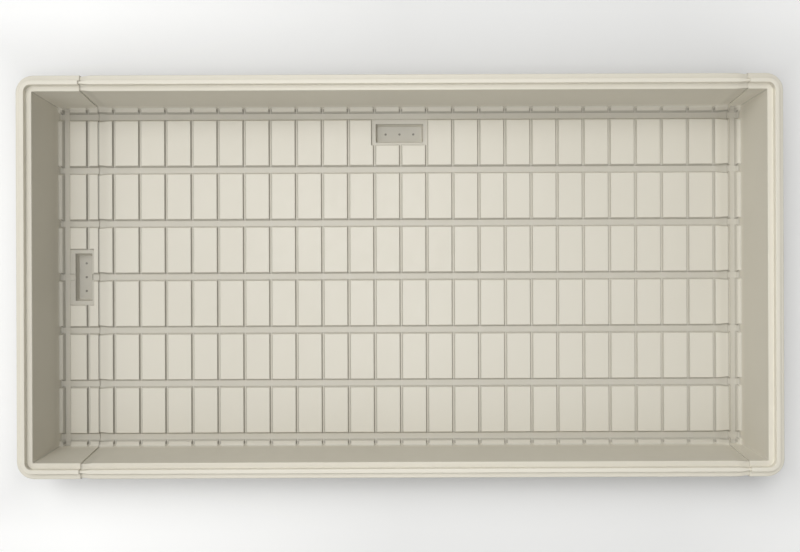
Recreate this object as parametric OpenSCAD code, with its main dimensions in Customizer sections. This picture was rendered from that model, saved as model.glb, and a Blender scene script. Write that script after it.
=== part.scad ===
// Hydroponic flood tray: three formed plastic sections joined by two taped laps.
// Millimetres, +Z up. X runs along the tray and Y across it. The origin is under the middle of
// the tray, level with the undersides of the two drain pockets.

/* [Tray] */
// Length of the tray floor between the feet of the end walls
floor_l = 2438; // [2300:1:2600]
// Width of the tray floor between the feet of the side walls
floor_w = 1210; // [1100:1:1300]
// Height of the inner wall, from the pad tops to the rim ledge
wall_h = 160; // [120:1:200]
// How far the inner wall leans out over that height
wall_lean = 22; // [12:0.5:34]
// Thickness of the formed sheet
sheet_t = 3.2; // [2.4:0.1:4]

/* [Rim] */
// Radius of the ledge corner, which all the rim outlines share a centre with
corner_r = 5; // [3:0.5:12]
// Width of the flat ledge at the top of the wall
ledge_w = 18.2; // [12:0.1:24]
// Height of the bead above the ledge
bead_h = 16; // [10:0.5:24]
// Width of the bead at its foot
bead_w = 15.9; // [15.5:0.1:24]
// How far each side of the bead leans in
bead_lean = 1; // [0.5:0.1:1.2]
// Radius along the top edges of the bead
bead_r = 1.8; // [1.8:0.1:5]
// How far the outer lip lies below the bead
lip_drop = 16; // [8:0.5:20]
// Width from the foot of the bead to the outside of the skirt
lip_w = 21.4; // [14:0.1:26]
// Radius along the outer edge of the lip
lip_r = 3.6; // [2:0.1:6]
// Depth of the skirt below the outer lip
skirt_h = 40; // [25:1:60]
// How far the skirt leans out over that depth
skirt_lean = 2; // [1:0.1:4]

/* [Wide channels] */
// Number of wide channels along the tray, with the two beside the side walls
channel_n = 7; // [5:2:9]
// Width of a wide channel at the pad tops
channel_w = 32; // [28:0.1:40]
// Width of a wide channel's floor
channel_floor_w = 20; // [16:0.1:26]
// Depth of a wide channel
channel_depth = 12.5; // [11:0.1:15]
// Width of the small pads between the side channels and the side walls
side_pad_w = 16; // [10:0.05:24]
// Width of the two channels beside the end walls at the pad tops
end_channel_w = 28.4; // [26:0.1:34]
// Width of the small pads between the end channels and the end walls
end_pad_w = 12.2; // [8:0.1:20]

/* [Cross grooves] */
// Spacing of the narrow grooves, of which the tray has as many as fit
groove_pitch = 93.28; // [92:0.02:95]
// Distance from the foot of the left end wall to the middle of the first groove
first_groove = 103.64; // [102:0.02:105]
// Width of a narrow groove at the pad tops
groove_w = 11.6; // [11:0.1:15]
// Width of a narrow groove's floor
groove_floor_w = 5.6; // [5:0.1:9]
// Depth of a narrow groove
groove_depth = 8.5; // [7:0.1:8.6]

/* [Drain pockets] */
// How far the border round a pocket lies below the pad tops
border_drop = 8.7; // [8.7:0.1:10]
// How far each sloping edge of the border spreads
border_lean = 2; // [1:0.1:4]
// Length of a pocket's border
border_l = 203; // [185:1:220]
// Length of a pocket's mouth
pocket_l = 170; // [150:1:176]
// Depth of a pocket below its border
pocket_depth = 24; // [16:0.5:30]
// How far each pocket wall leans in over that depth
pocket_lean = 4.9; // [3:0.1:8]
// Width of the border of the pocket in the middle section
side_border_w = 90; // [84:1:100]
// Width of the mouth of the pocket in the middle section
side_pocket_w = 66; // [54:1:74]
// How far the pocket in the middle section lies from the middle of the tray
side_pocket_x = 0; // [-4:0.5:6]
// Width of the border of the pocket in the left end section
end_border_w = 84.3; // [80:0.1:85]
// Width of the mouth of the pocket in the left end section
end_pocket_w = 60; // [48:1:62]
// Distance from the foot of the left end wall to the middle of the pocket there
end_pocket_in = 85.4; // [82:0.1:88]
// Spacing of the drill marks in a pocket floor
mark_pitch = 50; // [40:1:56]
// Width of a drill mark
mark_d = 9; // [6:0.5:12]
// Depth of a drill mark
mark_depth = 1.6; // [0.8:0.1:1.8]

/* [Seams] */
// Length of the left end section, from the foot of the end wall to its edge
left_end_l = 139.5; // [139.5:0.5:146]
// Length of the right end section, from the foot of the end wall to its edge
right_end_l = 42.5; // [42.5:0.5:50]
// How far the end sections overlap the sunk margins of the middle section
lap_w = 8.5; // [6:0.5:8.5]
// Least width of a sunk margin that stays in view beside an end section
margin_min = 24; // [16:0.5:28]
// Clearance between the step of a sunk margin and the groove beside it
step_gap = 0.4; // [0.2:0.1:2]
// Thickness of the sealing tape in the laps
tape_t = 0.5; // [0.3:0.1:0.8]

/* [Hidden] */
$fn = 48;
half_l = floor_l/2;
half_w = floor_w/2;
// Height of the pad tops above the undersides of the drain pockets.
pad_z = border_drop + pocket_depth + sheet_t;
// Half length and half width of the tray at the inner edge of the ledge.
edge_l = half_l + wall_lean;
edge_w = half_w + wall_lean;
lip_out = ledge_w + bead_w + lip_w;
lip_z = wall_h + bead_h - lip_drop;
skirt_z = lip_z - skirt_h;
// Wide channels: spacing across the tray and the middle of the two that run beside the end walls.
channel_pitch = 2*(half_w - side_pad_w - channel_w/2)/(channel_n - 1);
end_channel_x = half_l - end_pad_w - end_channel_w/2;
end_channel_floor_w = end_channel_w - channel_w + channel_floor_w;
field_l = end_channel_x - end_channel_w/2;
field_w = channel_pitch*(channel_n - 1)/2 - channel_w/2;
// Seams: edges of the end sections, and the steps and edges of the sunk margins.
left_seam = -half_l + left_end_l;
right_seam = half_l - right_end_l;
left_edge = left_seam - lap_w;
right_edge = right_seam + lap_w;
sink = sheet_t + tape_t;
// Grooves: their places, and the steps of the sunk margins, which lie just clear of the nearest grooves.
first_x = -half_l + first_groove;
groove_clear = mouth_half(trench(0, groove_w, groove_floor_w, groove_depth), sink + sheet_t) + step_gap;
groove_n = 1 + floor((right_seam - margin_min - groove_clear - first_x)/groove_pitch);
last_x = first_x + groove_pitch*(groove_n - 1);
next_groove = ceil((left_seam + margin_min + groove_clear - first_x)/groove_pitch);
left_step = first_x + groove_pitch*next_groove - groove_clear;
right_step = last_x + groove_clear;
// How far a pocket's border runs on into the channel beside it.
border_run = channel_w/4;
// Middles of the two pockets.
side_pocket_y = field_w - side_border_w/2;
end_pocket_x = -half_l + end_pocket_in;
// Steps in the small arcs of the rim.
rim_steps = 4;
// Planes well below and well above all the forms.
deep = -60;
high = 300;
far = 1500;
sheet_colour = [0.91, 0.89, 0.82];
tape_colour = [0.55, 0.55, 0.53];

// One trench in a cut through the floor: middle, half width at the top, half width at the bottom, depth.
function trench(middle, top_w, bottom_w, depth) = [middle, top_w/2, bottom_w/2, depth];

// Trenches met when walking along the tray, from the left end wall to the right one.
function trenches_along() = concat(
    [trench(-end_channel_x, end_channel_w, end_channel_floor_w, channel_depth)],
    [for (k = [0:groove_n - 1])
        trench(first_x + groove_pitch*k, groove_w, groove_floor_w, groove_depth)],
    [trench(end_channel_x, end_channel_w, end_channel_floor_w, channel_depth)]);

// Trenches met when walking across the tray, from one side wall to the other.
function trenches_across() =
    [for (k = [0:channel_n - 1])
        trench(channel_pitch*(k - (channel_n - 1)/2), channel_w, channel_floor_w, channel_depth)];

// How far a sloping face moves sideways when it is moved straight back by a distance.
function side_move(run, rise, back) = back*sqrt(run*run + rise*rise)/rise;

// Half width of a trench's mouth and floor when its surface is moved back into the sheet.
function mouth_half(t, back) =
    t[1] - back*(t[1] - t[2])/t[3] + side_move(t[1] - t[2], t[3], back);
function foot_half(t, back) =
    t[2] - back*(t[1] - t[2])/t[3] + side_move(t[1] - t[2], t[3], back);

// Outline of the body under a floor with these trenches, when its surface is moved back.
function floor_outline(list, reach, back, low) = concat(
    [[reach, low], [-reach, low], [-reach, -back]],
    [for (t = list) for (p = [
        [t[0] - mouth_half(t, back), -back],
        [t[0] - foot_half(t, back), -t[3] - back],
        [t[0] + foot_half(t, back), -t[3] - back],
        [t[0] + mouth_half(t, back), -back]]) p],
    [[reach, -back]]);

// A tapered trough with a flat floor: half widths at a level, lean of its sides, and its depth.
module trough(half_x, half_y, lean, depth, top, back) {
    grow = side_move(lean, depth, back);
    slope = lean/depth;
    rise = 20;
    intersection() {
        rotate([90, 0, 0])
            linear_extrude(height = 4*half_y + 200, center = true)
                polygon([
                    [-(half_x + grow - slope*(depth + back)), top - depth - back],
                    [half_x + grow - slope*(depth + back), top - depth - back],
                    [half_x + grow + slope*rise, top + rise],
                    [-(half_x + grow + slope*rise), top + rise]]);
        rotate([90, 0, 90])
            linear_extrude(height = 4*half_x + 200, center = true)
                polygon([
                    [-(half_y + grow - slope*(depth + back)), top - depth - back],
                    [half_y + grow - slope*(depth + back), top - depth - back],
                    [half_y + grow + slope*rise, top + rise],
                    [-(half_y + grow + slope*rise), top + rise]]);
    }
}

// Corners of the rim in a cut across it: distance outside the ledge's inner edge, height, and radius.
rim_corners = [
    [0, wall_h, 0],
    [ledge_w, wall_h, 0],
    [ledge_w + bead_lean, wall_h + bead_h, bead_r],
    [ledge_w + bead_w - bead_lean, wall_h + bead_h, bead_r],
    [ledge_w + bead_w, lip_z, 0],
    [lip_out - skirt_lean, lip_z, lip_r],
    [lip_out, skirt_z, 0]];

// Angle of the rim's surface after a corner, and the direction from there straight into the sheet.
function rim_angle(k) =
    atan2(rim_corners[k + 1][1] - rim_corners[k][1], rim_corners[k + 1][0] - rim_corners[k][0]);
function inward(angle) = [sin(angle), -cos(angle)];

// Where a rim corner goes when the surfaces on both sides of it are moved back into the sheet.
function moved_corner(k, back) =
    let (a = rim_angle(k - 1), b = rim_angle(k), between = (a + b)/2, half = (a - b)/2)
    [rim_corners[k][0], rim_corners[k][1]] + inward(between)*back/cos(half);

// A rim corner moved back, rounded by an arc of short steps where it still has a radius.
function rounded_corner(k, back) =
    let (r = rim_corners[k][2] - back, a = rim_angle(k - 1), b = rim_angle(k), corner = moved_corner(k, back))
    r < 0.2 ? [corner] :
    let (centre = corner + inward((a + b)/2)*r/cos((a - b)/2))
    [for (i = [0:rim_steps]) centre - inward(a + (b - a)*i/rim_steps)*r];

// The rim's surface from the ledge out to the skirt, moved back and carried on down to a low level.
function rim_line(back, low) =
    let (a = rim_angle(5), foot = rim_corners[6], side = inward(a)*back, slope = skirt_lean/skirt_h)
    concat(
        [for (k = [1:5]) for (p = rounded_corner(k, back)) p],
        [[foot[0] + side[0] + slope*(foot[1] + side[1] - low), low]]);

// The rim and the plateau inside it, in a full cut across the tray.
module rim_cut(half, back, low) {
    line = rim_line(back, low);
    n = len(line);
    polygon(concat(
        [for (k = [n - 1:-1:0]) [-half - line[k][0], line[k][1]]],
        [for (k = [0:n - 1]) [half + line[k][0], line[k][1]]]));
}

// The rim all round the tray: straight stretches, and a quarter turn at each corner.
module rim_ring(back, low) {
    rotate([90, 0, 90])
        linear_extrude(height = 2*(edge_l - corner_r), center = true) rim_cut(edge_w, back, low);
    rotate([90, 0, 0])
        linear_extrude(height = 2*(edge_w - corner_r), center = true) rim_cut(edge_l, back, low);
    line = rim_line(back, low);
    for (turn = [0, 90, 180, 270])
        translate([
            (turn == 0 || turn == 270 ? 1 : -1)*(edge_l - corner_r),
            (turn < 180 ? 1 : -1)*(edge_w - corner_r), 0])
            rotate([0, 0, turn])
                rotate_extrude(angle = 90)
                    polygon(concat(
                        [[0, low], [0, wall_h - back]],
                        [for (p = line) [corner_r + p[0], p[1]]]));
}

// The open space inside the walls, when their surface is moved back into the sheet.
module hollow(back) {
    grow = side_move(wall_lean, wall_h, back);
    slope = wall_lean/wall_h;
    low = deep - 20;
    intersection() {
        rotate([90, 0, 0])
            linear_extrude(height = 2*far, center = true)
                polygon([
                    [-(half_l + grow + slope*low), low],
                    [half_l + grow + slope*low, low],
                    [half_l + grow + slope*high, high],
                    [-(half_l + grow + slope*high), high]]);
        rotate([90, 0, 90])
            linear_extrude(height = 2*far, center = true)
                polygon([
                    [-(half_w + grow + slope*low), low],
                    [half_w + grow + slope*low, low],
                    [half_w + grow + slope*high, high],
                    [-(half_w + grow + slope*high), high]]);
    }
}

// The body under the walls and the rim. A cutting body reaches out past the skirt's lower edge.
module rim_body(back, from, to, low, cutting) {
    intersection() {
        translate([from, -far, low]) cube([to - from, 2*far, high - low]);
        difference() {
            union() {
                rim_ring(back, low);
                if (cutting) translate([-far, -far, low]) cube([2*far, 2*far, skirt_z - low]);
            }
            hollow(back);
        }
    }
}

// The body under the pads, channels and grooves.
module floor_body(back, from, to, low) {
    start = max(from, -half_l - 10);
    end = min(to, half_l + 10);
    intersection() {
        rotate([90, 0, 0])
            linear_extrude(height = 2*half_w + 40, center = true)
                polygon(floor_outline(trenches_along(), half_l + 30, back, low));
        translate([start, 0, 0])
            rotate([90, 0, 90])
                linear_extrude(height = end - start)
                    polygon(floor_outline(trenches_across(), half_w + 10, back, low));
    }
}

// The two drain pockets. Each border runs on a little way into the channel beside it.
module pockets(back) {
    translate([side_pocket_x, side_pocket_y, 0]) {
        translate([0, border_run/2, 0])
            trough(border_l/2, (side_border_w + border_run)/2, border_lean, border_drop, 0, back);
        trough(pocket_l/2, side_pocket_w/2, pocket_lean, pocket_depth, -border_drop, back);
    }
    translate([-field_l + (end_border_w - border_run)/2, 0, 0])
        trough((end_border_w + border_run)/2, border_l/2, border_lean, border_drop, 0, back);
    translate([end_pocket_x, 0, 0])
        trough(end_pocket_w/2, pocket_l/2, pocket_lean, pocket_depth, -border_drop, back);
}

// Everything under the tray's surface when that surface is moved back into the sheet.
module body(back, from, to, low, cutting) {
    difference() {
        union() {
            rim_body(back, from, to, low, cutting);
            floor_body(back, from, to, low);
        }
        pockets(back);
    }
}

// A sheet between two depths below the tray's upper surface, over a stretch of its length.
module sheet(near, away, from, to) {
    translate([0, 0, pad_z])
        difference() {
            body(near, from, to, deep, false);
            body(away, from - 1, to + 1, deep - 5, true);
        }
}

// Three shallow round marks that show where the pocket floor is drilled.
module drill_marks() {
    r = (mark_d*mark_d/4 + mark_depth*mark_depth)/(2*mark_depth);
    for (k = [-1:1])
        translate([k*mark_pitch, 0, sheet_t + r - mark_depth]) sphere(r);
}

// Left end of the tray, with a drain pocket. Its edge lies over the middle section's left margin.
module left_end_section() {
    color(sheet_colour)
        difference() {
            sheet(0, sheet_t, -far, left_seam);
            translate([end_pocket_x, 0, 0]) rotate([0, 0, 90]) drill_marks();
        }
}

// Long middle of the tray, with a drain pocket and a sunk margin at each end.
module mid_section() {
    color(sheet_colour)
        difference() {
            union() {
                sheet(0, sheet_t, left_step - sheet_t/2, right_step + sheet_t/2);
                sheet(0, sink + sheet_t, left_step - sheet_t, left_step);
                sheet(0, sink + sheet_t, right_step, right_step + sheet_t);
                sheet(sink, sink + sheet_t, left_edge, left_step - sheet_t/2);
                sheet(sink, sink + sheet_t, right_step + sheet_t/2, right_edge);
            }
            translate([side_pocket_x, side_pocket_y, 0]) drill_marks();
        }
}

// Right end of the tray. Its edge lies over the middle section's right margin.
module right_end_section() {
    color(sheet_colour) sheet(0, sheet_t, right_seam, far);
}

// Sealing tape between the left end section and the margin under it.
module left_seam_tape() {
    color(tape_colour) sheet(sheet_t, sink, left_edge, left_seam);
}

// Sealing tape between the right end section and the margin under it.
module right_seam_tape() {
    color(tape_colour) sheet(sheet_t, sink, right_seam, right_edge);
}

left_end_section();
mid_section();
right_end_section();
left_seam_tape();
right_seam_tape();
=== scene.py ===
# %% [markdown]
# # A hydroponic flood tray
# The tray is a long shallow box of ivory plastic sheet. Nutrient water floods it, drains along the
# channels in its floor and leaves through two recessed pockets. It comes in three formed sections
# that lap over each other. This lesson loads the measured model as a fixed frame, and then makes
# each section again as one smooth sheet, with the rolled edges that forming gives.

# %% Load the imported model
import math

import bpy
import numpy as np
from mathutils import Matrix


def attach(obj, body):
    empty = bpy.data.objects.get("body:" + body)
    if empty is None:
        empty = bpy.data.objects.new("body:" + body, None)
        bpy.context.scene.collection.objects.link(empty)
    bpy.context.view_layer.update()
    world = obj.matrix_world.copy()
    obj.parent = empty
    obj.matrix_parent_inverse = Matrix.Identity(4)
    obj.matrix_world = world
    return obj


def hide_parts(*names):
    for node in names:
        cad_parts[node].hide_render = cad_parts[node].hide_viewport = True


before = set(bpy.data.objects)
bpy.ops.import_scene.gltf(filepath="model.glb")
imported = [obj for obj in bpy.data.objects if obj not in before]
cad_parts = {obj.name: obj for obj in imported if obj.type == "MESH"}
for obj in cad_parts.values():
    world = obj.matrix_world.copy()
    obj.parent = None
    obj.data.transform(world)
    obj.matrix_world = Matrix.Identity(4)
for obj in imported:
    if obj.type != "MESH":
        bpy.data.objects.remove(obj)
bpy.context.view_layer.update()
print("nodes:", sorted(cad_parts))

# %% [markdown]
# ## Sizes
# The sizes are the model's own, in millimetres, and become metres only when a mesh is made. The
# floor is a field of flat pads. Everything in it is given by its distance from the middle of the
# tray and its depth below the pad tops, and the rim by its height above them.

# %% Sizes of the tray in millimetres
MM = 0.001
HALF_L = 1219.0
HALF_W = 605.0
PAD_Z = 35.9
SHEET = 3.2
WALL_H = 160.0
WALL_LEAN = 22.0
LEAN = WALL_LEAN / WALL_H
CORNER_R = 5.0
print("floor:", 2 * HALF_L, "by", 2 * HALF_W, "mm, pads", PAD_Z, "mm above the ground")

# %% [markdown]
# ## One step in the sheet
# A channel wall, a groove wall and a pocket wall are all the same kind of edge. The soft sheet
# rolls over an upper edge, runs down a slope and rolls out onto a lower level. They could be boxes
# with a Bevel modifier, but one formula for all of them gives exact arcs and lets the underside
# follow the upper side at the sheet's thickness.

# %% The formula of a step
# The smallest radius that an arc gets when it tightens
TIGHTEST = 0.6


def step_arcs(step, back):
    """Angle of the slope, its shift, and the radius and tangent length of its upper and lower arc.

    Moving the surface back into the sheet shifts the slope outwards, tightens the upper arc and
    widens the lower one. A tangent length is the radius times the tangent of half the angle.
    """
    run, drop, top_round, foot_round = step
    angle = math.atan2(drop, run)
    shift = back * (math.hypot(run, drop) - run) / drop
    top_r = np.maximum(top_round - back, TIGHTEST)
    foot_r = foot_round + back
    half = math.tan(angle / 2)
    return angle, shift, top_r, top_r * half, foot_r, foot_r * half


def step_down(out, step, back):
    """Depth of a step at a distance outside its upper edge, with distances inside below zero.

    In words: nothing outside, then the arc that rolls over the edge, the slope, the arc that runs
    out onto the lower level, and the full drop.
    """
    run, drop = step[:2]
    angle, shift, top_r, top_t, foot_r, foot_t = step_arcs(step, back)
    out = out - shift
    past = out + run
    rolled = top_r - np.sqrt(np.maximum(top_r**2 - (top_t - out) ** 2, 0))
    landed = drop - foot_r + np.sqrt(np.maximum(foot_r**2 - (past + foot_t) ** 2, 0))
    stretches = [
        out >= top_t,
        out > -top_t * math.cos(angle),
        past > foot_t * math.cos(angle),
        past > -foot_t,
    ]
    return np.select(stretches, [0 * out, rolled, -out * math.tan(angle), landed], drop)


def step_lines(step, back):
    """Distances outside the upper edge where a grid needs lines.

    These are the ends of both arcs and the middle of the upper one.
    """
    run = step[0]
    angle, shift, top_r, top_t, foot_r, foot_t = step_arcs(step, back)
    turn = math.cos(angle)
    middle = top_t - top_r * math.sin(angle / 2)
    return np.stack([top_t, middle, -top_t * turn, foot_t * turn - run, -foot_t - run]) + shift


# Each step is its run, its drop, and the radii of its upper and lower arc
CHANNEL = (6.0, 12.5, 1.8, 1.5)
GROOVE = (3.0, 8.5, 1.3, 1.0)
BORDER = (2.0, 8.7, 1.2, 1.0)
POCKET = (4.9, 24.0, 1.5, 2.5)
for label, step in (("channel", CHANNEL), ("groove", GROOVE), ("pocket", POCKET)):
    print(label, "slope at", round(math.degrees(math.atan2(step[1], step[0]))), "degrees")

# %% [markdown]
# ## The pattern of the floor
# Seven wide channels run along the tray, one more runs beside each end wall, and narrow grooves
# cross it at an even pitch. Where two of them meet, the deeper one wins. A plain maximum would
# leave knife edges on the pad corners, so a high power mean rounds them a little.

# %% Channels and grooves
CHANNEL_HALF = 16.0
CHANNEL_PITCH = 191.0
CHANNELS_A_SIDE = 3
END_CHANNEL_HALF = 14.2
END_CHANNEL_X = 1192.6
GROOVE_HALF = 5.8
FIRST_GROOVE = -1115.36
GROOVE_PITCH = 93.28
GROOVES = 25
CORNER_POWER = 8
channel_y = CHANNEL_PITCH * np.arange(-CHANNELS_A_SIDE, CHANNELS_A_SIDE + 1)
end_channel_x = np.array([-END_CHANNEL_X, END_CHANNEL_X])
groove_x = FIRST_GROOVE + GROOVE_PITCH * np.arange(GROOVES)


def along_depth(x, back):
    """Depth of the end channels and grooves at x.

    It is the deepest of the steps on either side of each middle line.
    """
    far = np.expand_dims(x, -1)
    deep = np.expand_dims(back, -1)
    wide = step_down(abs(far - end_channel_x) - END_CHANNEL_HALF, CHANNEL, deep)
    narrow = step_down(abs(far - groove_x) - GROOVE_HALF, GROOVE, deep)
    return np.maximum(wide.max(-1), narrow.max(-1))


def across_depth(y, back):
    """Depth of the channels that run along the tray at y: the deepest of their steps."""
    out = abs(np.expand_dims(y, -1) - channel_y) - CHANNEL_HALF
    return step_down(out, CHANNEL, np.expand_dims(back, -1)).max(-1)


print(len(channel_y) + len(end_channel_x), "channels and", len(groove_x), "grooves")

# %% [markdown]
# ## The drain pockets
# A pocket is a deep trough in a shallow sunk border that opens onto the channel beside it, so the
# last water runs in. Its outline is a rectangle with round corners. The signed distance to that
# outline goes into the same step formula. Three shallow dents in its floor show where to drill.

# %% Pockets, borders and drill marks
MARK_R = 4.5
MARK_DEPTH = 1.6
MARK_BALL = (MARK_R**2 + MARK_DEPTH**2) / (2 * MARK_DEPTH)
MARK_PITCH = 50.0
SIDE_POCKET_Y = 512.0
END_POCKET_X = -1133.6
BORDER_ROUND = 4.0
POCKET_ROUND = 7.0
# A border or a pocket is the x and y of its middle, and half its length along x and along y
SIDE_POCKET = {
    "border": (0.0, 516.0, 101.5, 49.0),
    "pocket": (0.0, SIDE_POCKET_Y, 85.0, 33.0),
    "marks": [(MARK_PITCH * k, SIDE_POCKET_Y) for k in (-1, 0, 1)],
}
END_POCKET = {
    "border": (-1140.25, 0.0, 46.15, 101.5),
    "pocket": (END_POCKET_X, 0.0, 30.0, 85.0),
    "marks": [(END_POCKET_X, MARK_PITCH * k) for k in (-1, 0, 1)],
}


def outline_distance(x, y, box, corner):
    """Signed distance outside a rectangle with round corners.

    It is the distance to the rectangle drawn in by the corner radius, less that radius.
    """
    out_x = abs(x - box[0]) - box[2] + corner
    out_y = abs(y - box[1]) - box[3] + corner
    outside = np.hypot(np.maximum(out_x, 0), np.maximum(out_y, 0))
    return outside + np.minimum(np.maximum(out_x, out_y), 0) - corner


def floor_depth(x, y, back):
    """Depth of the floor below its pads.

    Channels and grooves meet by their power mean. A border holds where it is deeper than that, and
    a pocket goes down from the level of its border.
    """
    along = along_depth(x, back)
    across = across_depth(y, back)
    depth = (along**CORNER_POWER + across**CORNER_POWER) ** (1 / CORNER_POWER)
    for place in (SIDE_POCKET, END_POCKET):
        border = step_down(outline_distance(x, y, place["border"], BORDER_ROUND), BORDER, back)
        pocket = step_down(outline_distance(x, y, place["pocket"], POCKET_ROUND), POCKET, back)
        depth = np.maximum(depth, border)
        depth = np.where(pocket > 0, BORDER[1] + pocket, depth)
    return depth


def mark_depth(x, y):
    """Depth of the drill marks: the part of a ball that reaches below the pocket floor."""
    dents = 0 * x
    for middle_x, middle_y in SIDE_POCKET["marks"] + END_POCKET["marks"]:
        away = np.minimum(np.hypot(x - middle_x, y - middle_y), MARK_R)
        dents = np.maximum(dents, np.sqrt(MARK_BALL**2 - away**2) - (MARK_BALL - MARK_DEPTH))
    return dents


print("pocket floors at", round(PAD_Z - BORDER[1] - POCKET[1], 2), "mm above the ground")

# %% [markdown]
# ## The rim
# The wall leans out to a flat ledge, a round bead stands up from it, and outside that a lip turns
# down into a skirt. It is one profile carried along a path. The profile is a list of corners, each
# with a radius, and its moved copy gives the inside of the sheet. Outer corners get tighter as they
# move back into the sheet and inner corners get wider.

# %% The rim's profile
BEAD_H = 176.0
SKIRT_END = 120.0
# Each corner is its distance out from the ledge's inner edge and its height above the pads
RIM_CORNERS = np.array([
    [-WALL_LEAN, 0.0],
    [0.0, WALL_H],
    [18.2, WALL_H],
    [19.2, BEAD_H],
    [33.1, BEAD_H],
    [34.1, WALL_H],
    [53.5, WALL_H],
    [55.5, SKIRT_END],
])
# The radius of each corner between the two ends, and the number of steps in its arc
RIM_ROUNDS = (2.5, 2.0, 1.8, 1.8, 2.0, 3.6)
RIM_STEPS = (4, 3, 5, 5, 3, 6)


def into_sheet(angle):
    """Unit direction straight into the sheet from a surface that runs at an angle."""
    return np.stack([np.sin(angle), -np.cos(angle)], -1)


def rim_profile(back):
    """Distances out and heights of the rim's rows, for each of several moves back.

    Each corner of the line moves along its bisector by the move divided by the cosine of half its
    turn, and an arc of its radius replaces it. In the last row the skirt's line meets its end level.
    """
    runs = np.diff(RIM_CORNERS, axis=0)
    angles = np.arctan2(runs[:, 1], runs[:, 0])
    back = np.asarray(back, float)[:, None, None]
    rows = []
    for k, (radius, steps) in enumerate(zip(RIM_ROUNDS, RIM_STEPS)):
        before, after = angles[k], angles[k + 1]
        bisector = into_sheet((before + after) / 2) / math.cos((before - after) / 2)
        outer = 1.0 if after < before else -1.0
        arc_r = np.maximum(radius - outer * back, TIGHTEST)
        centre = RIM_CORNERS[k + 1] + bisector * (back + outer * arc_r)
        turn = into_sheet(np.linspace(before, after, steps + 1))
        rows.append(centre - outer * arc_r * turn)
    end = RIM_CORNERS[-1]
    side = into_sheet(angles[-1]) * back
    slip = -side[..., 1:] / math.tan(angles[-1])
    rows.append(np.concatenate([end[0] + side[..., :1] + slip, end[1] + 0 * slip], -1))
    line = np.concatenate(rows, axis=1)
    return line[..., 0].T, line[..., 1].T


rim_out, _ = rim_profile([0.0])
print(len(rim_out), "rows in the rim, which reaches", round(rim_out.max(), 1), "mm out from the ledge")

# %% [markdown]
# ## Grid lines
# Each surface is a grid over the floor, and a row of lines only helps where the sheet bends. So the
# lines lie at the ends of the arcs of every step, and the wide flat pads between them stay single
# faces. Lines across the tray move with the sheet where a section's margin is sunk, so each line
# along has its own set.

# %% Lines along and across the tray
CHANNEL_CUT = -CHANNEL[0] * GROOVE[1] / CHANNEL[1]
MARK_LINES = MARK_R * np.array([-1, -0.75, -0.4, 0, 0.4, 0.75, 1])
CLEAR_OF_EDGES = 0.3


def both_sides(middle, half, lines):
    """Lines on both sides of a middle line, at a half width plus each distance outside it."""
    return np.concatenate([middle - half - lines, middle + half + lines])


def channel_lines(middle, half, back):
    """Lines of a wide channel: those of its steps, and where its slope is as deep as a groove."""
    cut = CHANNEL_CUT + step_arcs(CHANNEL, back)[1]
    return both_sides(middle, half, np.concatenate([step_lines(CHANNEL, back), cut[None]]))


def pocket_lines(place, axis, back):
    """Lines that a pocket needs along one axis: those of its border, its edges and its drill marks."""
    border, pocket = place["border"], place["pocket"]
    marks = sorted({mark[axis] for mark in place["marks"]})
    lines = [
        both_sides(border[axis], border[axis + 2], step_lines(BORDER, back)),
        both_sides(pocket[axis], pocket[axis + 2], step_lines(POCKET, back)),
    ]
    return np.concatenate(lines + [mark + MARK_LINES[:, None] + 0 * back for mark in marks])


def lines_along(start, end, back, end_back, place=None, more=()):
    """Values of x from start to end: those of grooves, end channels, a pocket and any more given."""
    back = np.array([back])
    end_back = np.array([end_back])
    lines = [both_sides(x, GROOVE_HALF, step_lines(GROOVE, back)) for x in groove_x]
    lines += [channel_lines(x, END_CHANNEL_HALF, end_back) for x in end_channel_x]
    if place:
        lines.append(pocket_lines(place, 0, back))
    lines = np.unique(np.round(np.append(np.concatenate(lines), more), 3))
    inside = lines[(lines > start + CLEAR_OF_EDGES) & (lines < end - CLEAR_OF_EDGES)]
    return np.concatenate([[start], inside, [end]])


def lines_across(back, place=None):
    """Values of y between the side walls, in one sorted row for each move back.

    They are those of the channels, and of a pocket where there is one.
    """
    lines = [channel_lines(y, CHANNEL_HALF, back) for y in channel_y]
    if place:
        lines.append(pocket_lines(place, 1, back))
    return np.sort(np.concatenate(lines).T, axis=1)


print("lines across a plain section:", lines_across(np.zeros(1)).shape[1])

# %% [markdown]
# ## The floor of a section
# The floor is a function of two parameters, the line along and the line across. Its height is the
# pad level less the move back and the depth. Its outermost lines lie where the rounded foot of the
# wall begins, and they follow the grooves and channels that run out to the wall.

# %% Points of a section's floor
FOOT_R = 8.0
FOOT_T = FOOT_R * (math.hypot(1, LEAN) - LEAN)
WALL_ANGLE = math.atan2(WALL_H, WALL_LEAN)
TRIAL_STRIP = np.array([-20.0, 20.0])


def floor_grid(x_line, back, place, end, marked):
    """Points of a floor: x from the lines along, y from the lines across, and z from the depth.

    The first and last y lie at the wall, drawn in by the lean of the wall times the depth there,
    and so does the row of x at an end wall.
    """
    wall = HALF_W - FOOT_T - LEAN * along_depth(x_line, back)
    y = np.column_stack([-wall, lines_across(back, place), wall])
    x = np.repeat(x_line[:, None], y.shape[1], axis=1)
    if end:
        row = 0 if end < 0 else -1
        x[row] = end * (HALF_L - FOOT_T - LEAN * across_depth(y[row], back[row]))
    depth = floor_depth(x, y, back[:, None])
    if marked:
        depth = depth + mark_depth(x, y)
    return np.stack([x, y, PAD_Z - back[:, None] - depth], -1)


floor_z = floor_grid(TRIAL_STRIP, np.zeros(2), None, 0, False)[..., 2]
print("a plain strip of floor lies from", floor_z.min().round(2), "to", floor_z.max(), "mm")

# %% [markdown]
# ## The path of the rim
# The rim's profile is carried along a path that runs clockwise round the floor. A column of the
# path knows its point on the floor, the straight way out, and how a corner's centre spreads. The
# straight sides need only a few columns, because a straight run is the same all along. The foot of
# the wall keeps every column, so that it follows the notches of the grooves.

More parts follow.
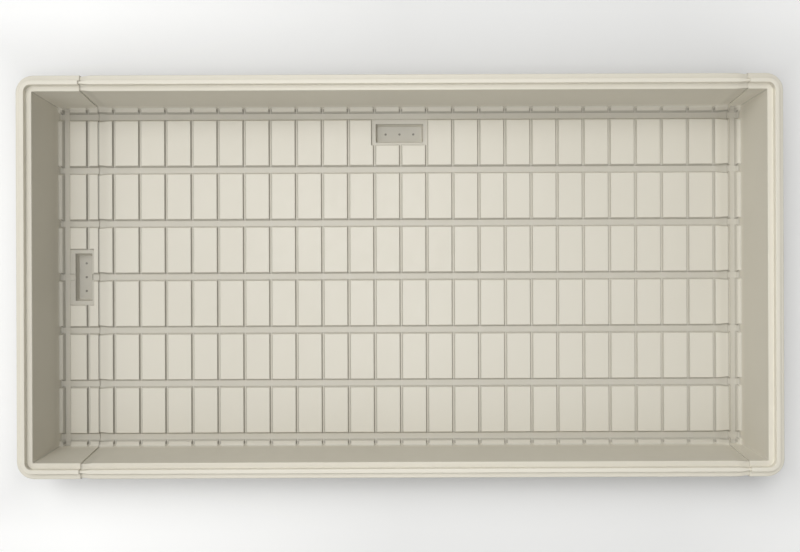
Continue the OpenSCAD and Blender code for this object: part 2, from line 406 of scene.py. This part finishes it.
# %% Columns of the path
CORNER_STEPS = 8
# The direction in degrees from which each corner turns, by its end and its side
CORNER_START = {(-1, -1): 270, (-1, 1): 180, (1, 1): 90, (1, -1): 0}
# Where a row of the table below keeps the values that are read by themselves
FOOT, SPREAD_X, SPREAD_Y, DEPTH, BACK = 0, 3, 4, 7, 8


def column_table(foot, base_x, base_y, spread_x, spread_y, out_x, out_y, depth, back):
    """One row for each column of the path, with single values repeated."""
    columns = foot, base_x, base_y, spread_x, spread_y, out_x, out_y, depth, back
    return np.column_stack(np.broadcast_arrays(*columns))


def side_path(grid, back, side, i):
    """Columns beside a long wall, one for each of the lines i."""
    across = grid.shape[1]
    foot = i * across + (0 if side < 0 else across - 1)
    x = grid[i, 0, 0]
    return column_table(foot, x, side * HALF_W, 0, side, 0, side, along_depth(x, back[i]), back[i])


def end_path(grid, back, end, j):
    """Columns beside an end wall, one for each of the lines j."""
    i = 0 if end < 0 else len(grid) - 1
    y = grid[i, j, 1]
    foot = i * grid.shape[1] + j
    return column_table(foot, end * HALF_L, y, end, 0, end, 0, across_depth(y, back[i]), back[i])


def corner_path(grid, back, end, side):
    """Columns round a corner, which start from one point of the floor and turn a right angle."""
    i = 0 if end < 0 else len(grid) - 1
    across = grid.shape[1]
    foot = i * across + (0 if side < 0 else across - 1)
    turn = np.radians(CORNER_START[end, side] - np.linspace(0, 90, CORNER_STEPS + 1))
    out_x, out_y = np.cos(turn), np.sin(turn)
    return column_table(foot, end * HALF_L, side * HALF_W, end, side, out_x, out_y, 0.0, back[i])


def rim_paths(grid, back, end):
    """The clockwise paths round a floor.

    A middle section has one along each side, and an end section has one round three sides.
    """
    along = np.arange(len(grid))
    across = np.arange(1, grid.shape[1] - 1)
    if end == 0:
        return [side_path(grid, back, -1, along[::-1]), side_path(grid, back, 1, along)]
    order = along[:0:-1] if end < 0 else along[:-1]
    first = side_path(grid, back, end, order)
    turn_in = corner_path(grid, back, end, end)
    wall = end_path(grid, back, end, across[::-end])
    turn_out = corner_path(grid, back, end, -end)
    last = side_path(grid, back, -end, order[::-1])
    return [np.vstack([first, turn_in, wall, turn_out, last])]


print("columns round a corner:", CORNER_STEPS + 1)

# %% Rows of the foot and the rim
FOOT_ROWS = 4
FOOT_CORNER = 3.0
RIM_TUCK = WALL_LEAN - CORNER_R
KEEP_EVERY = 40
SAME_BACK = 1e-9


def path_points(path, out, up, tuck):
    """Points at distances out and heights up along a path.

    A corner's centre lies where the walls' lines meet, moved out by the tuck.
    """
    _, base_x, base_y, spread_x, spread_y, out_x, out_y, _, _ = path.T
    x = base_x + tuck * spread_x + (out - tuck) * out_x
    y = base_y + tuck * spread_y + (out - tuck) * out_y
    return np.stack([x, y, PAD_Z + up], -1)


def foot_rows(path):
    """Rows of the wall's rounded foot: an arc about a centre that follows the depth of the notches."""
    depth, back = path[:, DEPTH], path[:, BACK]
    turn = WALL_ANGLE * np.arange(1, FOOT_ROWS + 1)[:, None] / FOOT_ROWS
    out = (FOOT_R + back) * np.sin(turn) - FOOT_T - LEAN * depth
    up = FOOT_R - depth - (FOOT_R + back) * np.cos(turn)
    tuck = FOOT_R * np.sin(turn) - FOOT_T - FOOT_CORNER * np.sin(turn) / math.sin(WALL_ANGLE)
    return path_points(path, out, up, tuck)


def rim_rows(path):
    """Rows of the ledge, bead, lip and skirt: the rim's profile at each column's own move back."""
    out, up = rim_profile(path[:, BACK])
    return path_points(path, out + WALL_LEAN, up, RIM_TUCK)


def kept_columns(path):
    """Columns that the straight part of the rim needs.

    They are both ends, the corners, those where the move back changes, and a few between.
    """
    back = path[:, BACK]
    keep = path[:, SPREAD_X] * path[:, SPREAD_Y] != 0
    changes = abs(np.diff(back)) > SAME_BACK
    keep[:-1] |= changes
    keep[1:] |= changes
    keep[::KEEP_EVERY] = True
    keep[-1] = True
    return np.flatnonzero(keep)


print("rows from the floor to the skirt:", FOOT_ROWS + len(rim_out))

# %% [markdown]
# ## From points to faces
# Neighbouring rows and columns make four-sided faces. At a corner of the floor all columns start
# from one point, so those faces have three sides. Each flat stretch of wall is a single face with
# many corners along its foot. Normals are the area-weighted mean of the faces round a point, which
# keeps wide flat faces flat and lets the small arcs between them shade smoothly.

# %% One surface of a section
def row_faces(rows):
    """Faces between neighbouring rows and columns of point numbers.

    They have four sides, or three where a corner is doubled.
    """
    corners = rows[:-1, :-1], rows[:-1, 1:], rows[1:, 1:], rows[1:, :-1]
    quads = np.stack(corners, -1).reshape(-1, 4)
    doubled = quads[:, 0] == quads[:, 1]
    return quads[~doubled], quads[doubled][:, 1:]


def section_surface(x_line, back, place=None, end=0, marked=False):
    """One side of a section's sheet: its points, its faces, its cut edges and its hems.

    A cut edge is a list of point numbers across the tray from skirt to skirt. A hem is the row of
    point numbers along the lower edge of a skirt.
    """
    grid = floor_grid(x_line, back, place, end, marked)
    number = np.arange(grid[..., 0].size).reshape(grid.shape[:2])
    points = [grid.reshape(-1, 3)]
    corners = number[:-1, :-1], number[1:, :-1], number[1:, 1:], number[:-1, 1:]
    faces = [np.stack(corners, -1).reshape(-1, 4)]
    ends, hems = {}, []
    count = number.size
    for path in rim_paths(grid, back, end):
        keep = kept_columns(path)
        bend, rim = foot_rows(path), rim_rows(path[keep])
        feet = path[:, FOOT].astype(int)
        bend_number = count + np.arange(bend[..., 0].size).reshape(bend.shape[:2])
        count += bend_number.size
        rim_number = count + np.arange(rim[..., 0].size).reshape(rim.shape[:2])
        count += rim_number.size
        points += [bend.reshape(-1, 3), rim.reshape(-1, 3)]
        lower = np.vstack([feet, bend_number])
        faces += [*row_faces(lower), *row_faces(rim_number)]
        for column, (first, last) in enumerate(zip(keep[:-1], keep[1:])):
            wall = [*lower[-1, first : last + 1], *rim_number[0, [column + 1, column]]]
            faces.append(np.array([wall]))
        for column in (0, -1):
            row, line = divmod(feet[column], grid.shape[1])
            ends[row, line > 0] = [*lower[:, column], *rim_number[:, column]]
        hems.append(rim_number[-1])
    cuts = {}
    for row, facing in ((0, -1), (len(grid) - 1, 1)):
        if facing != end:
            inside = list(number[row, 1:-1])
            cuts[facing] = np.array(ends[row, False][::-1] + inside + ends[row, True])
    return {
        "points": np.vstack(points),
        "floor_points": number.size,
        "faces": [block for block in faces if len(block)],
        "cuts": cuts,
        "hems": hems,
    }


trial = section_surface(TRIAL_STRIP, np.zeros(2))
print("a plain strip has", len(trial["points"]), "points and", sum(map(len, trial["faces"])), "faces")


# %% Normals of a surface
SHORTEST = 1e-12


def face_areas(points, block):
    """Area vectors of faces: the sum of the cross products of the spokes from their first corners."""
    spokes = points[block] - points[block][:, :1]
    return np.cross(spokes[:, 1:-1], spokes[:, 2:]).sum(1)


def unit(vectors):
    """Vectors divided by their lengths."""
    return vectors / np.maximum(np.linalg.norm(vectors, axis=-1, keepdims=True), SHORTEST)


def point_normals(surface):
    """Normals at points: the sum of the area vectors of the faces that meet there, made unit long."""
    total = np.zeros_like(surface["points"])
    for block in surface["faces"]:
        areas = face_areas(surface["points"], block)
        np.add.at(total, block.ravel(), np.repeat(areas, block.shape[1], axis=0))
    return unit(total)


trial_normals = point_normals(trial)
steepest = math.degrees(math.acos(trial_normals[:, 2].min()))
print("the steepest part of that strip stands at", round(steepest), "degrees")

# %% [markdown]
# ## Painted shade
# The colour is darkened as painted shade where shade falls: on steep sides, along the seams and in
# the creases between the walls, and more so towards the left end and the upper side. A material
# could find such places by itself, but only with nodes that cost time in every render. So each
# sheet carries the share of painted shade at its points as an attribute, and the material reads it.

# %% Painted shade on the floor
# Painted shade on groove and channel sides: on the side facing away from the light, then the other
GROOVE_SHADE = 0.54, 0.36
CHANNEL_SHADE = 0.42, 0.10
# The grooves' painted shade grows by this share towards the left end
SHADE_DRIFT_TO_LEFT = 0.4
POCKET_SHARE = 0.3
END_CHANNEL_SHARE = 0.4
END_CHANNEL_EDGE = 2.0
# Painted shade in the notches, on the strips beside the walls, and towards the ends and walls
NOTCH_SHADE = 1.7
STRIP_SHADE = 0.13
END_SHADE = 0.2
END_REACH = 300.0
WALL_SHADE = 0.14
WALL_REACH = 280.0
END_PADS = END_CHANNEL_X - END_CHANNEL_HALF - END_CHANNEL_EDGE
STRIP_X = END_CHANNEL_X + END_CHANNEL_HALF
STRIP_Y = channel_y[-1] + CHANNEL_HALF


def floor_painted_shade(x, y, normals):
    """Share of painted shade on a floor.

    In words: painted shade lies on the sides of grooves and channels in proportion to how steep they
    are, and is darker on the side that faces away from the light. In the grooves it also grows
    towards the left end. Less of it is in the pockets and end channels, and more in the notches at
    the walls. Some lies on the strips beside the walls, as the walls' painted shade, and fades away
    from the walls and ends.
    """
    face_x, face_y, _ = normals.T
    grooves = np.where(face_x > 0, *GROOVE_SHADE) * abs(face_x) * (1 - SHADE_DRIFT_TO_LEFT * x / HALF_L)
    grooves = np.where(abs(x) > END_PADS, END_CHANNEL_SHARE * grooves, grooves)
    grooves = np.where(abs(y) > STRIP_Y, NOTCH_SHADE * grooves, grooves)
    channels = np.where(face_y < 0, *CHANNEL_SHADE) * abs(face_y)
    channels = np.where(abs(x) > STRIP_X, NOTCH_SHADE * channels, channels)
    share = grooves + channels
    for place in (SIDE_POCKET, END_POCKET):
        inside = outline_distance(x, y, place["pocket"], POCKET_ROUND) < POCKET[2]
        share = np.where(inside, POCKET_SHARE * share, share)
    share += END_SHADE * np.clip(1 - (HALF_L - abs(x)) / END_REACH, 0, 1)
    share += WALL_SHADE * np.clip(1 - (HALF_W - abs(y)) / WALL_REACH, 0, 1)
    return share + np.where((abs(x) > STRIP_X) | (abs(y) > STRIP_Y), STRIP_SHADE, 0)


floor_end = trial["floor_points"]
strip_x, strip_y, _ = trial["points"][:floor_end].T
strip_shade = floor_painted_shade(strip_x, strip_y, trial_normals[:floor_end])
print("most film on the floor of that strip:", strip_shade.max().round(2))

# %% Painted shade on the walls and painted shadow along the seams
# Painted shade at the foot of the walls and in the creases between them
FOOT_SHADE = 0.36
FOOT_SHADE_TOP = 50.0
# How far up a normal points where the painted shade of the foot starts and where it is full
FOOT_FACING = 0.3, 0.75
CREASE_SHADE = 0.5
FAR_SHADE = 0.35
# The seams' lines are painted shadow beside the edge of each sheet that lies on top
SEAM_SHADOW_W = 4.5
SEAM_FADE = 1.5
SEAM_LOW = 26.0
SEAM_CLIMB = 0.55


def upper_left_share(x, y):
    """Share of painted shade by place: one on the upper left side of the tray, and less towards the
    lower right corner.

    It is one, less half the sum of how far right and how far down a point lies, each as a share of
    the half size. It is held between a small share and one.
    """
    return np.clip(1 + (y / HALF_W - x / HALF_L) / 2, FAR_SHADE, 1)


def wall_painted_shade(x, y, z, normals):
    """Share of painted shade on the walls.

    In words: it lies on the rounded foot as far as that faces up, and in the creases, where a
    normal that points into the tray leans both along and across it. Both stand for shade where the
    walls meet the floor and each other.
    """
    face_x, face_y, face_z = normals.T
    foot = np.where(z < FOOT_SHADE_TOP, FOOT_SHADE * np.interp(face_z, FOOT_FACING, (0, 1)), 0)
    inward = face_x * x + face_y * y < 0
    crease = np.where(inward, CREASE_SHADE * upper_left_share(x, y) * 2 * abs(face_x * face_y), 0)
    return np.maximum(foot, crease)


def painted_shade_share(surface, normals, seams):
    """How much painted shade lies on the points of a surface, as a share from 0 to 1.

    A seam is the edge of a sheet on top, with the side on which its painted shadow lies and how much
    it is. That shadow covers the pads as far as its width, then fades, and is thinner up the walls
    and rim. It leaves out the low channels, which have painted shade of their own.
    """
    x, y, z = surface["points"].T
    on_floor = np.arange(len(x)) < surface["floor_points"]
    share = np.where(on_floor, floor_painted_shade(x, y, normals), wall_painted_shade(x, y, z, normals))
    climb = np.where(on_floor, 1, SEAM_CLIMB * upper_left_share(x, y))
    for edge, side, amount in seams:
        fade = np.clip((SEAM_SHADOW_W + SEAM_FADE - side * (x - edge)) / SEAM_FADE, 0, 1)
        share = np.where(z > SEAM_LOW, np.maximum(share, amount * climb * fade), share)
    return np.clip(share, 0, 1)


trial_shade = painted_shade_share(trial, trial_normals, ())
print("most film on its walls and rim:", trial_shade[floor_end:].max().round(2))

# %% [markdown]
# ## A closed sheet
# A sheet is an upper side, a lower side turned over, and flat strips that close its edges. A
# Solidify modifier could give it thickness, but here both sides come from exact formulas, so the
# thickness stays even round every bend. Each sheet rides on the tray's one body.

# %% A closed sheet from two surfaces
def closed_sheet(upper, lower, seams):
    """Points, faces and corner normals of a sheet, and the share of painted shade at its points.

    The sheet is the upper side, the lower side turned over, and flat strips along the edges.
    """
    shift = len(upper["points"])
    points = np.vstack([upper["points"], lower["points"]])
    faces = list(upper["faces"])
    over, under = point_normals(upper), point_normals(lower)
    painted_shade = np.concatenate([painted_shade_share(upper, over, seams), np.zeros(len(under))])
    normals = [over[block].reshape(-1, 3) for block in faces]
    for block in lower["faces"]:
        turned = block[:, ::-1]
        faces.append(turned + shift)
        normals.append(-under[turned].reshape(-1, 3))
    edges = []
    for facing, above in upper["cuts"].items():
        edges.append((above[::-facing], lower["cuts"][facing][::-facing] + shift))
    edges += [(above, below + shift) for above, below in zip(upper["hems"], lower["hems"])]
    for above, below in edges:
        strip = np.stack([above[:-1], above[1:], below[1:], below[:-1]], -1)
        faces.append(strip)
        normals.append(np.repeat(unit(face_areas(points, strip)), 4, axis=0))
    return points, faces, np.vstack(normals), painted_shade


trial_under = section_surface(TRIAL_STRIP, np.full(2, SHEET))
trial_points = closed_sheet(trial, trial_under, ())[0]
print("that strip as a closed sheet has", len(trial_points), "points")

# %% [markdown]
# ## The end sections
# The left end holds a drain pocket and the right end is a narrow cap. Both lie on top of the middle
# section's margins. Each is the same surface twice, once at the top of the sheet and once a sheet's
# thickness further back.

# %% Make the end sections
LEFT_SEAM = -1079.5
RIGHT_SEAM = 1176.5
END_LINE = HALF_L - FOOT_T


def make_sheet(name, upper, lower, node, seams=()):
    """Makes a mesh of a closed sheet, in metres, that rides on the tray and stands for a node."""
    points, faces, normals, painted_shade = closed_sheet(upper, lower, seams)
    mesh = bpy.data.meshes.new(name)
    corners = [face for block in faces for face in block.tolist()]
    mesh.from_pydata((points * MM).tolist(), [], corners)
    mesh.polygons.foreach_set("use_smooth", np.ones(len(mesh.polygons), bool))
    mesh.normals_split_custom_set(normals.tolist())
    carried = mesh.attributes.new("painted_shade", "FLOAT", "POINT")
    carried.data.foreach_set("value", painted_shade.astype(np.float32))
    piece = bpy.data.objects.new(name, mesh)
    bpy.context.scene.collection.objects.link(piece)
    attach(piece, "root")
    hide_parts(node)
    triangles = sum(len(block) * (block.shape[1] - 2) for block in faces)
    print(name, "has", triangles, "triangles")
    return piece


def end_surface(back, end, place):
    """One side of an end section, between its seam and its end wall."""
    start, stop = (-END_LINE, LEFT_SEAM) if end < 0 else (RIGHT_SEAM, END_LINE)
    x_line = lines_along(start, stop, back, back, place)
    return section_surface(x_line, np.full(len(x_line), back), place, end, back == 0)


left_end = make_sheet(
    "left_end_sheet",
    end_surface(0.0, -1, END_POCKET),
    end_surface(SHEET, -1, END_POCKET),
    "left_end_section",
)
right_end = make_sheet(
    "right_end_sheet",
    end_surface(0.0, 1, None),
    end_surface(SHEET, 1, None),
    "right_end_section",
)

# %% [markdown]
# ## The middle section
# The middle section is the longest sheet. At each end a soft joggle sets its margin down by a sheet
# and a layer of tape, so that the end section lies over it and its top comes level. The move back is
# a smooth function of x here, and the same formulas then sink pads, channels, walls and rim together.

# %% Make the middle section
LEFT_EDGE = -1088.0
RIGHT_EDGE = 1185.0
LEFT_JOGGLE = -1055.5
RIGHT_JOGGLE = 1153.5
JOGGLE_HALF = 19.0
JOGGLE_LINES = 9
TAPE = 0.5
SINK = SHEET + TAPE
# Each seam is its edge, the side on which its painted shadow lies, and how dark that is
SEAMS = ((LEFT_SEAM, 1, 0.85), (RIGHT_SEAM, -1, 0.35))


def middle_surface(back):
    """One side of the middle section.

    The move back grows by the sink, along a smooth S curve about each joggle. The grid gets more
    lines on that curve and where the painted shadow of a seam begins, fades and ends.
    """
    bends = np.add.outer([LEFT_JOGGLE, RIGHT_JOGGLE], JOGGLE_HALF * np.linspace(-1, 1, JOGGLE_LINES))
    shadow_ends = 0, SEAM_SHADOW_W, SEAM_SHADOW_W + SEAM_FADE
    shadow_lines = [edge + side * off for edge, side, _ in SEAMS for off in shadow_ends]
    more = [*bends.ravel(), *shadow_lines]
    x_line = lines_along(LEFT_EDGE, RIGHT_EDGE, back, back + SINK, SIDE_POCKET, more)
    past = np.maximum(LEFT_JOGGLE - x_line, x_line - RIGHT_JOGGLE)
    share = np.clip(past / (2 * JOGGLE_HALF) + 0.5, 0, 1)
    sunk = SINK * share**2 * (3 - 2 * share)
    return section_surface(x_line, back + sunk, SIDE_POCKET, 0, back == 0)


middle = make_sheet(
    "middle_sheet",
    middle_surface(0.0),
    middle_surface(SHEET),
    "mid_section",
    SEAMS,
)

# %% [markdown]
# ## The sealing tape
# A strip of soft tape fills each lap. It follows every pad, channel and turn of the rim between the
# two sheets, so it comes from the same surface at two moves back. It stays a hair clear of both.

# %% Make the tapes
TAPE_CLEAR = 0.03


def tape_surface(back, start, end):
    """One side of a tape in a lap between two values of x."""
    x_line = lines_along(start, end, back, back)
    return section_surface(x_line, np.full(len(x_line), back))


tapes = []
for name, start, end, node in (
    ("left_lap_tape", LEFT_EDGE, LEFT_SEAM, "left_seam_tape"),
    ("right_lap_tape", RIGHT_SEAM, RIGHT_EDGE, "right_seam_tape"),
):
    upper_side = tape_surface(SHEET + TAPE_CLEAR, start, end)
    lower_side = tape_surface(SINK - TAPE_CLEAR, start, end)
    tapes.append(make_sheet(name, upper_side, lower_side, node))

# %% [markdown]
# ## The ivory plastic
# The sheet is satin plastic with a fine leathery grain from its mould. Its colour drifts a little
# over the length of a sheet. One tint follows the height: it is painted shade in the drill marks,
# the pockets, channels and grooves and on the walls, and painted light that makes the ledge and the
# bead on top paler. A second tint follows the attribute of painted shade on steep sides, seams,
# creases and notches. The rest is noise on the object's own coordinates, at the scale of the real
# finish, so that no picture is needed.

# %% Two ivory tones
NOISE_RANGE = 0.35, 0.65
IVORY = (0.849, 0.806, 0.690), (0.867, 0.825, 0.709)


def new_material(name):
    """An empty material with one shader, and coordinates that follow the object."""
    material = bpy.data.materials.new(name)
    material.use_nodes = True
    tree = material.node_tree
    shader = tree.nodes["Principled BSDF"]
    place = tree.nodes.new("ShaderNodeTexCoord")
    return material, tree, shader, place.outputs["Object"]


def noise(tree, place, scale, detail):
    """A noise texture at a scale in bumps to the metre."""
    node = tree.nodes.new("ShaderNodeTexNoise")
    node.inputs["Scale"].default_value = scale
    node.inputs["Detail"].default_value = detail
    tree.links.new(place, node.inputs["Vector"])
    return node.outputs["Fac"]


def spread(tree, value, low, high, from_low=NOISE_RANGE[0], from_high=NOISE_RANGE[1]):
    """Spreads a value from one range over another, and stops at its ends."""
    node = tree.nodes.new("ShaderNodeMapRange")
    node.inputs["From Min"].default_value = from_low
    node.inputs["From Max"].default_value = from_high
    node.inputs["To Min"].default_value = low
    node.inputs["To Max"].default_value = high
    tree.links.new(value, node.inputs["Value"])
    return node.outputs["Result"]


def two_tones(tree, share, one, other):
    """A colour that goes from one tone to another.

    Inputs 6 and 7 of a Mix node are its two colours, and output 2 is the mixed colour.
    """
    node = tree.nodes.new("ShaderNodeMix")
    node.data_type = "RGBA"
    node.inputs[6].default_value = (*one, 1)
    node.inputs[7].default_value = (*other, 1)
    tree.links.new(share, node.inputs[0])
    return node.outputs[2]


ivory, tree, shader, place = new_material("ivory_plastic")
cloud = spread(tree, noise(tree, place, scale=2.4, detail=4), 0, 1)
plastic = two_tones(tree, cloud, *IVORY)
print("ivory tones:", *IVORY)

# %% Painted shade and painted light on the ivory
# Each stop is a height in millimetres and the tint there, from the drill marks up to the bead.
# The dark stops are painted shade in the dents, pockets, channels, grooves and on the walls, and
# the stops that rise to one on the ledge and bead are painted light.
SHADE_AND_LIGHT_BY_HEIGHT = (
    (2.6, 0.26),
    (3.1, 0.645),
    (6.0, 0.813),
    (16.0, 0.813),
    (19.4, 0.705),
    (23.4, 0.708),
    (27.4, 0.695),
    (31.5, 0.825),
    (35.4, 0.872),
    (60.0, 0.778),
    (190.0, 0.79),
    (195.5, 0.912),
    (208.0, 1.0),
)
FULL_SHADE_TINT = 0.5
TRAY_H = PAD_Z + BEAD_H


def height_of(tree, place):
    """The height of a point, which is the z of the object's own coordinates."""
    node = tree.nodes.new("ShaderNodeSeparateXYZ")
    tree.links.new(place, node.inputs[0])
    return node.outputs["Z"]


def over_stops(tree, value, reach, stops):
    """A grey level that runs straight from stop to stop as a value goes from zero to its reach.

    The value is in metres, and the reach and the stops are in millimetres.
    """
    node = tree.nodes.new("ShaderNodeValToRGB")
    ramp = node.color_ramp.elements
    # A new ramp has two stops already
    for _ in range(len(stops) - 2):
        ramp.new(0.5)
    for element, (at, level) in zip(ramp, stops):
        element.position = at / reach
        element.color = (level, level, level, 1)
    tree.links.new(spread(tree, value, 0, 1, 0, reach * MM), node.inputs[0])
    return node.outputs["Color"]


def tinted(tree, colour, tint):
    """A colour darkened by a tint that multiplies it."""
    node = tree.nodes.new("ShaderNodeMix")
    node.data_type = "RGBA"
    node.blend_type = "MULTIPLY"
    node.inputs[0].default_value = 1
    tree.links.new(colour, node.inputs[6])
    tree.links.new(tint, node.inputs[7])
    return node.outputs[2]


by_height = over_stops(tree, height_of(tree, place), TRAY_H, SHADE_AND_LIGHT_BY_HEIGHT)
# The attribute darkens the colour again as painted shade, to half at a full share
shade_node = tree.nodes.new("ShaderNodeAttribute")
shade_node.attribute_name = "painted_shade"
by_share = spread(tree, shade_node.outputs["Fac"], 1, FULL_SHADE_TINT, 0, 1)
shaded_plastic = tinted(tree, tinted(tree, plastic, by_height), by_share)
print("the film's tint has", len(SHADE_AND_LIGHT_BY_HEIGHT), "stops over", TRAY_H, "mm")


# %% Grain and sheen of the ivory
def grain(tree, height, depth, strength):
    """A bump from a height, with its real depth in metres."""
    node = tree.nodes.new("ShaderNodeBump")
    node.inputs["Distance"].default_value = depth
    node.inputs["Strength"].default_value = strength
    tree.links.new(height, node.inputs["Height"])
    return node.outputs["Normal"]


sheen = spread(tree, noise(tree, place, scale=24, detail=3), low=0.42, high=0.52)
leathery = grain(tree, noise(tree, place, scale=1300, detail=2), depth=0.0001, strength=0.25)
tree.links.new(shaded_plastic, shader.inputs["Base Color"])
tree.links.new(sheen, shader.inputs["Roughness"])
tree.links.new(leathery, shader.inputs["Normal"])
for piece in (left_end, middle, right_end):
    piece.data.materials.append(ivory)
print("ivory plastic on", [piece.name for piece in (left_end, middle, right_end)])

# %% [markdown]
# ## The finish of the tape
# The tape is dull dark grey rubber. The laps hide all but its edges, so it could be one plain
# colour. A fine mottle and grain from the same helpers take little and keep it from looking flat.

# %% Nodes of the tape
TAPE_GREY = (0.10, 0.10, 0.093), (0.13, 0.13, 0.12)
tape_finish, tree, shader, place = new_material("grey_sealing_tape")
mottle = spread(tree, noise(tree, place, scale=180, detail=3), 0, 1)
dull = spread(tree, noise(tree, place, scale=90, detail=2), low=0.7, high=0.85)
rubbery = grain(tree, noise(tree, place, scale=900, detail=2), depth=0.0001, strength=0.3)
tree.links.new(two_tones(tree, mottle, *TAPE_GREY), shader.inputs["Base Color"])
tree.links.new(dull, shader.inputs["Roughness"])
tree.links.new(rubbery, shader.inputs["Normal"])
for piece in tapes:
    piece.data.materials.append(tape_finish)
print("sealing tape on", [piece.name for piece in tapes])

# %% [markdown]
# ## The ground
# The tray lies on a pale plain ground. Lamps strong enough to make it white would bleach the tray,
# so it glows a little instead, but only to rays that the camera sees. The glow puts no more light
# on the plastic. It is weaker close to the tray, which keeps the real shadow clear and paints a
# darker band of shadow round it, and over a stretch to the right of the middle, which is painted
# shade where the ground is dimmer.

# %% Ground
GROUND = 30.0
ground_mesh = bpy.data.meshes.new("ground")
corners = GROUND * np.array([[-1, -1, 0], [1, -1, 0], [1, 1, 0], [-1, 1, 0]])
ground_mesh.from_pydata(corners.tolist(), [], [[0, 1, 2, 3]])
ground = bpy.data.objects.new("ground", ground_mesh)
bpy.context.scene.collection.objects.link(ground)
print("ground", 2 * GROUND, "m square")


# %% Glow of the ground
PAPER = (0.80, 0.80, 0.79), (0.81, 0.81, 0.80)
# Painted light: the ground's glow, less over the dim stretch and in a painted shadow round the tray
FULL_GLOW = 0.35
DIM_GLOW = 0.145
SHADOW_SHARE = 0.37
# In metres, a stretch is its middle and half length, and a fade is where it starts and ends
DIM_X = 0.5, 0.5
DIM_FADE = 0, 1.15
SHADOW_X = 0.03, 1.34
SHADOW_Y = 0.02, 0.69
SHADOW_FADE = -0.03, 0.25
OPEN_FADE = 0.3, 1.1


def reckon(tree, operation, *values):
    """A sum on values, each of which is a socket or a number."""
    node = tree.nodes.new("ShaderNodeMath")
    node.operation = operation
    for socket, value in zip(node.inputs, values):
        if isinstance(value, (int, float)):
            socket.default_value = value
        else:
            tree.links.new(value, socket)
    return node.outputs[0]


def clear_of(tree, value, middle, half):
    """How far a value lies outside a stretch with a middle and a half length."""
    away = reckon(tree, "ABSOLUTE", reckon(tree, "SUBTRACT", value, middle))
    return reckon(tree, "SUBTRACT", away, half)


def seen_rays(tree):
    """One for rays from the camera and those that mirror or pass on what it sees, zero for others."""
    rays = tree.nodes.new("ShaderNodeLightPath")
    seen = reckon(tree, "MAXIMUM", rays.outputs["Is Camera Ray"], rays.outputs["Is Glossy Ray"])
    return reckon(tree, "MAXIMUM", seen, rays.outputs["Is Transmission Ray"])


paper, tree, shader, place = new_material("pale_ground")
apart = tree.nodes.new("ShaderNodeSeparateXYZ")
tree.links.new(place, apart.inputs[0])
ground_x, ground_y, _ = apart.outputs
beside_x = clear_of(tree, ground_x, *SHADOW_X)
beside_y = clear_of(tree, ground_y, *SHADOW_Y)
beside = reckon(tree, "MAXIMUM", beside_x, beside_y)
from_dim = clear_of(tree, ground_x, *DIM_X)
across = spread(tree, from_dim, DIM_GLOW, FULL_GLOW, *DIM_FADE)
shadow = spread(tree, beside, SHADOW_SHARE, 1, *SHADOW_FADE)
open_glow = spread(tree, beside, 0, FULL_GLOW, *OPEN_FADE)
glow = reckon(tree, "MAXIMUM", reckon(tree, "MULTIPLY", across, shadow), open_glow)
seen_glow = reckon(tree, "MULTIPLY", glow, seen_rays(tree))
paper_cloud = spread(tree, noise(tree, place, scale=0.8, detail=2), 0, 1)
tree.links.new(two_tones(tree, paper_cloud, *PAPER), shader.inputs["Base Color"])
tree.links.new(seen_glow, shader.inputs["Emission Strength"])
shader.inputs["Emission Color"].default_value = (1, 1, 0.99, 1)
shader.inputs["Roughness"].default_value = 0.9
shader.inputs["Specular IOR Level"].default_value = 0.1
ground_mesh.materials.append(paper)
print("ground glow from", round(DIM_GLOW * SHADOW_SHARE, 3), "to", FULL_GLOW)

# %% [markdown]
# ## Light and camera
# The tray is seen from straight above. The light is soft and comes mostly from the upper left, so
# the left wall lies in shade, the right wall is brighter and a soft shadow runs along the right and
# lower sides. Three wide suns give the directions, because suns light a tray of this length evenly
# from end to end, and one square lamp overhead lifts the middle of the floor. The sky adds almost
# no light, and is pale only to rays that the camera sees.

# %% Light
SKY_LIGHT = 0.01
SKY_SEEN = 0.85
SUN_Z = 4.0
# Each sun is its name, its azimuth, elevation and width in degrees, and its strength
SUNS = (
    ("upper_sun", 112, 60, 30, 0.84),
    ("left_sun", 135, 45, 60, 0.66),
    ("lower_sun", 250, 50, 80, 1.045),
)
PANEL_SIZE = 1.2
PANEL_ENERGY = 17.5
PANEL_PLACE = (-0.15, 0.15, 2.6)
scene = bpy.context.scene
scene.view_settings.view_transform = "Standard"
world = bpy.data.worlds.new("faint_sky")
world.use_nodes = True
sky = world.node_tree.nodes["Background"]
sky.inputs["Color"].default_value = (1, 1, 1, 1)
sky_strength = spread(world.node_tree, seen_rays(world.node_tree), SKY_LIGHT, SKY_SEEN, 0, 1)
world.node_tree.links.new(sky_strength, sky.inputs["Strength"])
scene.world = world


def soft_sun(name, azimuth, elevation, width, strength):
    """A wide sun from an azimuth, counted from the right side of the picture, and an elevation."""
    lamp = bpy.data.lights.new(name, "SUN")
    lamp.angle = math.radians(width)
    lamp.energy = strength
    holder = bpy.data.objects.new(name, lamp)
    holder.location = (0, 0, SUN_Z)
    holder.rotation_euler = (math.radians(90 - elevation), 0, math.radians(azimuth + 90))
    scene.collection.objects.link(holder)


for sun in SUNS:
    soft_sun(*sun)
panel = bpy.data.lights.new("overhead_panel", "AREA")
panel.size = PANEL_SIZE
panel.energy = PANEL_ENERGY
panel_holder = bpy.data.objects.new("overhead_panel", panel)
panel_holder.location = PANEL_PLACE
scene.collection.objects.link(panel_holder)

# %% Camera
LENS = 35.0
SENSOR = 36.0
CAMERA_Z = 2.8169
ROLL = -0.22
lens = bpy.data.cameras.new("overhead")
lens.lens = LENS
lens.sensor_width = SENSOR
camera = bpy.data.objects.new("overhead", lens)
camera.location = (0, 0, CAMERA_Z)
camera.rotation_euler = (0, 0, math.radians(ROLL))
scene.collection.objects.link(camera)
scene.camera = camera
print("camera", CAMERA_Z, "m above the ground")
